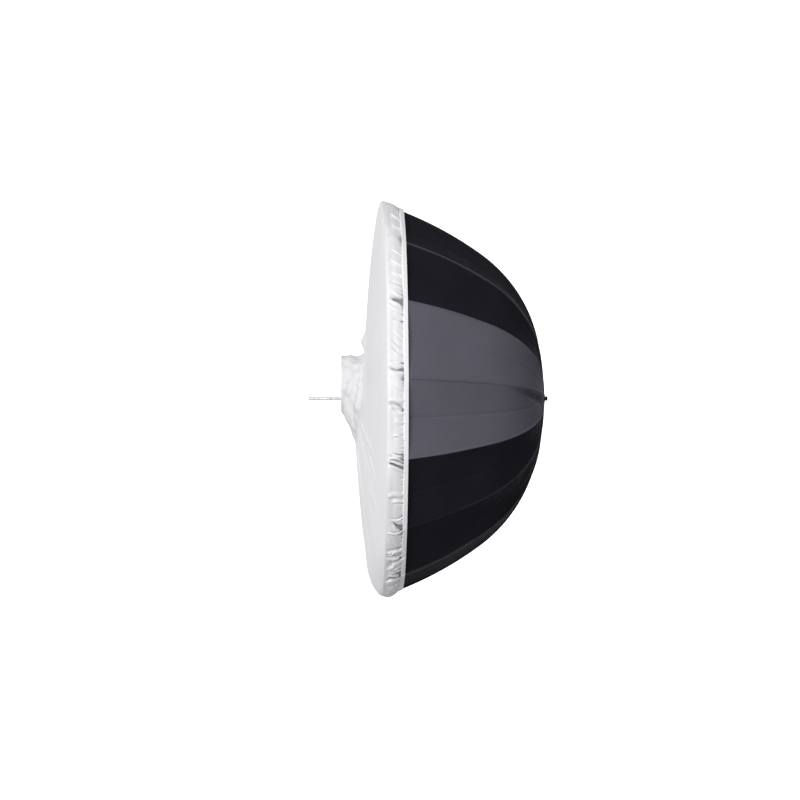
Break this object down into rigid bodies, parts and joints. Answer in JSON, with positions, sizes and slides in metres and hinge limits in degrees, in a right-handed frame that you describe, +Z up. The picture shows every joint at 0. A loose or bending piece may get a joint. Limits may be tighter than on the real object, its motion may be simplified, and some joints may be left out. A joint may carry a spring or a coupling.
{
  "type": "umbrella reflector",
  "caption": "Deep black photographic umbrella with a white front diffuser, elastic rim band and light-head sleeve, folding on ribs, stretchers and a sliding runner.",
  "frame": {"origin": "centre of the shaft's free end, on the shaft's axis", "axes": "+X along the shaft from its free end to the canopy's apex, +Z up to the side that the diffuser's sleeve is raised on, -Y to the side of the grey panels"},
  "size_m": [0.7555, 1.2432, 1.2432],
  "materials": {
    "shaft_steel": "bright plated steel tube",
    "wire_steel": "drawn steel wire",
    "spring_steel": "polished spring steel",
    "stretcher_steel": "black lacquered steel channel",
    "glass_fibre": "satin black glass-fibre rod",
    "black_plastic": "moulded satin black nylon",
    "canopy_cloth": "plain-woven black polyester, silver-white inside, two grey panels",
    "diffuser_cloth": "thin white translucent nylon"
  },
  "bodies": {
    "shaft_assembly": {"shaft": "shaft_steel", "shaft_end_plug": "black_plastic", "crown": "black_plastic", "crown_ring": "wire_steel", "ferrule": "black_plastic", "stop_ring": "wire_steel"},
    "runner": {"runner": "black_plastic", "runner_ring": "wire_steel"},
    "catch": {"catch": "spring_steel"},
    "diffuser": {"diffuser_front": "diffuser_cloth", "diffuser_band": "diffuser_cloth", "diffuser_sleeve": "diffuser_cloth"},
    "rib_01_body": {"rib_01": "glass_fibre", "gore_01": "canopy_cloth"},
    "stretcher_01_body": {"stretcher_01": "stretcher_steel"},
    "rib_02_body": {"rib_02": "glass_fibre", "gore_02": "canopy_cloth"},
    "stretcher_02_body": {"stretcher_02": "stretcher_steel"},
    "rib_03_body": {"rib_03": "glass_fibre", "gore_03": "canopy_cloth"},
    "stretcher_03_body": {"stretcher_03": "stretcher_steel"},
    "rib_04_body": {"rib_04": "glass_fibre", "gore_04": "canopy_cloth"},
    "stretcher_04_body": {"stretcher_04": "stretcher_steel"},
    "rib_05_body": {"rib_05": "glass_fibre", "gore_05": "canopy_cloth"},
    "stretcher_05_body": {"stretcher_05": "stretcher_steel"},
    "rib_06_body": {"rib_06": "glass_fibre", "gore_06": "canopy_cloth"},
    "stretcher_06_body": {"stretcher_06": "stretcher_steel"},
    "rib_07_body": {"rib_07": "glass_fibre", "gore_07": "canopy_cloth"},
    "stretcher_07_body": {"stretcher_07": "stretcher_steel"},
    "rib_08_body": {"rib_08": "glass_fibre", "gore_08": "canopy_cloth"},
    "stretcher_08_body": {"stretcher_08": "stretcher_steel"},
    "rib_09_body": {"rib_09": "glass_fibre", "gore_09": "canopy_cloth"},
    "stretcher_09_body": {"stretcher_09": "stretcher_steel"},
    "rib_10_body": {"rib_10": "glass_fibre", "gore_10": "canopy_cloth"},
    "stretcher_10_body": {"stretcher_10": "stretcher_steel"},
    "rib_11_body": {"rib_11": "glass_fibre", "gore_11": "canopy_cloth"},
    "stretcher_11_body": {"stretcher_11": "stretcher_steel"},
    "rib_12_body": {"rib_12": "glass_fibre", "gore_12": "canopy_cloth"},
    "stretcher_12_body": {"stretcher_12": "stretcher_steel"},
    "rib_13_body": {"rib_13": "glass_fibre", "gore_13": "canopy_cloth"},
    "stretcher_13_body": {"stretcher_13": "stretcher_steel"},
    "rib_14_body": {"rib_14": "glass_fibre", "gore_14": "canopy_cloth"},
    "stretcher_14_body": {"stretcher_14": "stretcher_steel"},
    "rib_15_body": {"rib_15": "glass_fibre", "gore_15": "canopy_cloth"},
    "stretcher_15_body": {"stretcher_15": "stretcher_steel"},
    "rib_16_body": {"rib_16": "glass_fibre", "gore_16": "canopy_cloth"},
    "stretcher_16_body": {"stretcher_16": "stretcher_steel"}
  },
  "joints": [
    {"name": "runner_slide", "type": "slide", "parent": "shaft_assembly", "child": "runner", "axis": [-1, 0, 0], "range_m": [0, 0.3011], "deforming": ["catch", "gore_01", "gore_02", "gore_03", "gore_04", "gore_05", "gore_06", "gore_07", "gore_08", "gore_09", "gore_10", "gore_11", "gore_12", "gore_13", "gore_14", "gore_15", "gore_16", "diffuser_band"]},
    {"name": "rib_01_fold", "type": "hinge", "parent": "shaft_assembly", "child": "rib_01_body", "pos_m": [0.73, -0.01493, 0.00147], "axis": [0, -0.098, -0.9952], "range_deg": [0, 48]},
    {"name": "rib_02_fold", "type": "hinge", "parent": "shaft_assembly", "child": "rib_02_body", "pos_m": [0.73, -0.01323, 0.00707], "axis": [0, -0.4714, -0.8819], "range_deg": [0, 48]},
    {"name": "rib_03_fold", "type": "hinge", "parent": "shaft_assembly", "child": "rib_03_body", "pos_m": [0.73, -0.00952, 0.01159], "axis": [0, -0.773, -0.6344], "range_deg": [0, 48]},
    {"name": "rib_04_fold", "type": "hinge", "parent": "shaft_assembly", "child": "rib_04_body", "pos_m": [0.73, -0.00435, 0.01435], "axis": [0, -0.9569, -0.2903], "range_deg": [0, 48]},
    {"name": "rib_05_fold", "type": "hinge", "parent": "shaft_assembly", "child": "rib_05_body", "pos_m": [0.73, 0.00147, 0.01493], "axis": [0, -0.9952, 0.098], "range_deg": [0, 48]},
    {"name": "rib_06_fold", "type": "hinge", "parent": "shaft_assembly", "child": "rib_06_body", "pos_m": [0.73, 0.00707, 0.01323], "axis": [0, -0.8819, 0.4714], "range_deg": [0, 48]},
    {"name": "rib_07_fold", "type": "hinge", "parent": "shaft_assembly", "child": "rib_07_body", "pos_m": [0.73, 0.01159, 0.00952], "axis": [0, -0.6344, 0.773], "range_deg": [0, 48]},
    {"name": "rib_08_fold", "type": "hinge", "parent": "shaft_assembly", "child": "rib_08_body", "pos_m": [0.73, 0.01435, 0.00435], "axis": [0, -0.2903, 0.9569], "range_deg": [0, 48]},
    {"name": "rib_09_fold", "type": "hinge", "parent": "shaft_assembly", "child": "rib_09_body", "pos_m": [0.73, 0.01493, -0.00147], "axis": [0, 0.098, 0.9952], "range_deg": [0, 48]},
    {"name": "rib_10_fold", "type": "hinge", "parent": "shaft_assembly", "child": "rib_10_body", "pos_m": [0.73, 0.01323, -0.00707], "axis": [0, 0.4714, 0.8819], "range_deg": [0, 48]},
    {"name": "rib_11_fold", "type": "hinge", "parent": "shaft_assembly", "child": "rib_11_body", "pos_m": [0.73, 0.00952, -0.01159], "axis": [0, 0.773, 0.6344], "range_deg": [0, 48]},
    {"name": "rib_12_fold", "type": "hinge", "parent": "shaft_assembly", "child": "rib_12_body", "pos_m": [0.73, 0.00435, -0.01435], "axis": [0, 0.9569, 0.2903], "range_deg": [0, 48]},
    {"name": "rib_13_fold", "type": "hinge", "parent": "shaft_assembly", "child": "rib_13_body", "pos_m": [0.73, -0.00147, -0.01493], "axis": [0, 0.9952, -0.098], "range_deg": [0, 48]},
    {"name": "rib_14_fold", "type": "hinge", "parent": "shaft_assembly", "child": "rib_14_body", "pos_m": [0.73, -0.00707, -0.01323], "axis": [0, 0.8819, -0.4714], "range_deg": [0, 48]},
    {"name": "rib_15_fold", "type": "hinge", "parent": "shaft_assembly", "child": "rib_15_body", "pos_m": [0.73, -0.01159, -0.00952], "axis": [0, 0.6344, -0.773], "range_deg": [0, 48]},
    {"name": "rib_16_fold", "type": "hinge", "parent": "shaft_assembly", "child": "rib_16_body", "pos_m": [0.73, -0.01435, -0.00435], "axis": [0, 0.2903, -0.9569], "range_deg": [0, 48]},
    {"name": "stretcher_01_fold", "type": "hinge", "parent": "runner", "child": "stretcher_01_body", "pos_m": [0.65754, -0.01493, 0.00147], "axis": [0, 0.098, 0.9952], "range_deg": [0, 48]},
    {"name": "stretcher_02_fold", "type": "hinge", "parent": "runner", "child": "stretcher_02_body", "pos_m": [0.65754, -0.01323, 0.00707], "axis": [0, 0.4714, 0.8819], "range_deg": [0, 48]},
    {"name": "stretcher_03_fold", "type": "hinge", "parent": "runner", "child": "stretcher_03_body", "pos_m": [0.65754, -0.00952, 0.01159], "axis": [0, 0.773, 0.6344], "range_deg": [0, 48]},
    {"name": "stretcher_04_fold", "type": "hinge", "parent": "runner", "child": "stretcher_04_body", "pos_m": [0.65754, -0.00435, 0.01435], "axis": [0, 0.9569, 0.2903], "range_deg": [0, 48]},
    {"name": "stretcher_05_fold", "type": "hinge", "parent": "runner", "child": "stretcher_05_body", "pos_m": [0.65754, 0.00147, 0.01493], "axis": [0, 0.9952, -0.098], "range_deg": [0, 48]},
    {"name": "stretcher_06_fold", "type": "hinge", "parent": "runner", "child": "stretcher_06_body", "pos_m": [0.65754, 0.00707, 0.01323], "axis": [0, 0.8819, -0.4714], "range_deg": [0, 48]},
    {"name": "stretcher_07_fold", "type": "hinge", "parent": "runner", "child": "stretcher_07_body", "pos_m": [0.65754, 0.01159, 0.00952], "axis": [0, 0.6344, -0.773], "range_deg": [0, 48]},
    {"name": "stretcher_08_fold", "type": "hinge", "parent": "runner", "child": "stretcher_08_body", "pos_m": [0.65754, 0.01435, 0.00435], "axis": [0, 0.2903, -0.9569], "range_deg": [0, 48]},
    {"name": "stretcher_09_fold", "type": "hinge", "parent": "runner", "child": "stretcher_09_body", "pos_m": [0.65754, 0.01493, -0.00147], "axis": [0, -0.098, -0.9952], "range_deg": [0, 48]},
    {"name": "stretcher_10_fold", "type": "hinge", "parent": "runner", "child": "stretcher_10_body", "pos_m": [0.65754, 0.01323, -0.00707], "axis": [0, -0.4714, -0.8819], "range_deg": [0, 48]},
    {"name": "stretcher_11_fold", "type": "hinge", "parent": "runner", "child": "stretcher_11_body", "pos_m": [0.65754, 0.00952, -0.01159], "axis": [0, -0.773, -0.6344], "range_deg": [0, 48]},
    {"name": "stretcher_12_fold", "type": "hinge", "parent": "runner", "child": "stretcher_12_body", "pos_m": [0.65754, 0.00435, -0.01435], "axis": [0, -0.9569, -0.2903], "range_deg": [0, 48]},
    {"name": "stretcher_13_fold", "type": "hinge", "parent": "runner", "child": "stretcher_13_body", "pos_m": [0.65754, -0.00147, -0.01493], "axis": [0, -0.9952, 0.098], "range_deg": [0, 48]},
    {"name": "stretcher_14_fold", "type": "hinge", "parent": "runner", "child": "stretcher_14_body", "pos_m": [0.65754, -0.00707, -0.01323], "axis": [0, -0.8819, 0.4714], "range_deg": [0, 48]},
    {"name": "stretcher_15_fold", "type": "hinge", "parent": "runner", "child": "stretcher_15_body", "pos_m": [0.65754, -0.01159, -0.00952], "axis": [0, -0.6344, 0.773], "range_deg": [0, 48]},
    {"name": "stretcher_16_fold", "type": "hinge", "parent": "runner", "child": "stretcher_16_body", "pos_m": [0.65754, -0.01435, -0.00435], "axis": [0, -0.2903, 0.9569], "range_deg": [0, 48]},
    {"name": "diffuser_slide", "type": "slide", "parent": "shaft_assembly", "child": "diffuser", "axis": [-1, 0, 0], "range_m": [0, 0.6024]},
    {"name": "catch_press", "type": "slide", "parent": "shaft_assembly", "child": "catch", "axis": [0, 0, -1], "range_m": [0, 0.0031], "stiffness_N_per_m": 400, "springref_m": -0.002}
  ],
  "couplings": [
    {"joint": "rib_01_fold", "follows": "runner_slide", "rad_per_m": 2.7815},
    {"joint": "rib_02_fold", "follows": "runner_slide", "rad_per_m": 2.7815},
    {"joint": "rib_03_fold", "follows": "runner_slide", "rad_per_m": 2.7815},
    {"joint": "rib_04_fold", "follows": "runner_slide", "rad_per_m": 2.7815},
    {"joint": "rib_05_fold", "follows": "runner_slide", "rad_per_m": 2.7815},
    {"joint": "rib_06_fold", "follows": "runner_slide", "rad_per_m": 2.7815},
    {"joint": "rib_07_fold", "follows": "runner_slide", "rad_per_m": 2.7815},
    {"joint": "rib_08_fold", "follows": "runner_slide", "rad_per_m": 2.7815},
    {"joint": "rib_09_fold", "follows": "runner_slide", "rad_per_m": 2.7815},
    {"joint": "rib_10_fold", "follows": "runner_slide", "rad_per_m": 2.7815},
    {"joint": "rib_11_fold", "follows": "runner_slide", "rad_per_m": 2.7815},
    {"joint": "rib_12_fold", "follows": "runner_slide", "rad_per_m": 2.7815},
    {"joint": "rib_13_fold", "follows": "runner_slide", "rad_per_m": 2.7815},
    {"joint": "rib_14_fold", "follows": "runner_slide", "rad_per_m": 2.7815},
    {"joint": "rib_15_fold", "follows": "runner_slide", "rad_per_m": 2.7815},
    {"joint": "rib_16_fold", "follows": "runner_slide", "rad_per_m": 2.7815},
    {"joint": "stretcher_01_fold", "follows": "runner_slide", "rad_per_m": 2.7815},
    {"joint": "stretcher_02_fold", "follows": "runner_slide", "rad_per_m": 2.7815},
    {"joint": "stretcher_03_fold", "follows": "runner_slide", "rad_per_m": 2.7815},
    {"joint": "stretcher_04_fold", "follows": "runner_slide", "rad_per_m": 2.7815},
    {"joint": "stretcher_05_fold", "follows": "runner_slide", "rad_per_m": 2.7815},
    {"joint": "stretcher_06_fold", "follows": "runner_slide", "rad_per_m": 2.7815},
    {"joint": "stretcher_07_fold", "follows": "runner_slide", "rad_per_m": 2.7815},
    {"joint": "stretcher_08_fold", "follows": "runner_slide", "rad_per_m": 2.7815},
    {"joint": "stretcher_09_fold", "follows": "runner_slide", "rad_per_m": 2.7815},
    {"joint": "stretcher_10_fold", "follows": "runner_slide", "rad_per_m": 2.7815},
    {"joint": "stretcher_11_fold", "follows": "runner_slide", "rad_per_m": 2.7815},
    {"joint": "stretcher_12_fold", "follows": "runner_slide", "rad_per_m": 2.7815},
    {"joint": "stretcher_13_fold", "follows": "runner_slide", "rad_per_m": 2.7815},
    {"joint": "stretcher_14_fold", "follows": "runner_slide", "rad_per_m": 2.7815},
    {"joint": "stretcher_15_fold", "follows": "runner_slide", "rad_per_m": 2.7815},
    {"joint": "stretcher_16_fold", "follows": "runner_slide", "rad_per_m": 2.7815},
    {"joint": "diffuser_slide", "follows": "runner_slide", "ratio": 2}
  ]
}
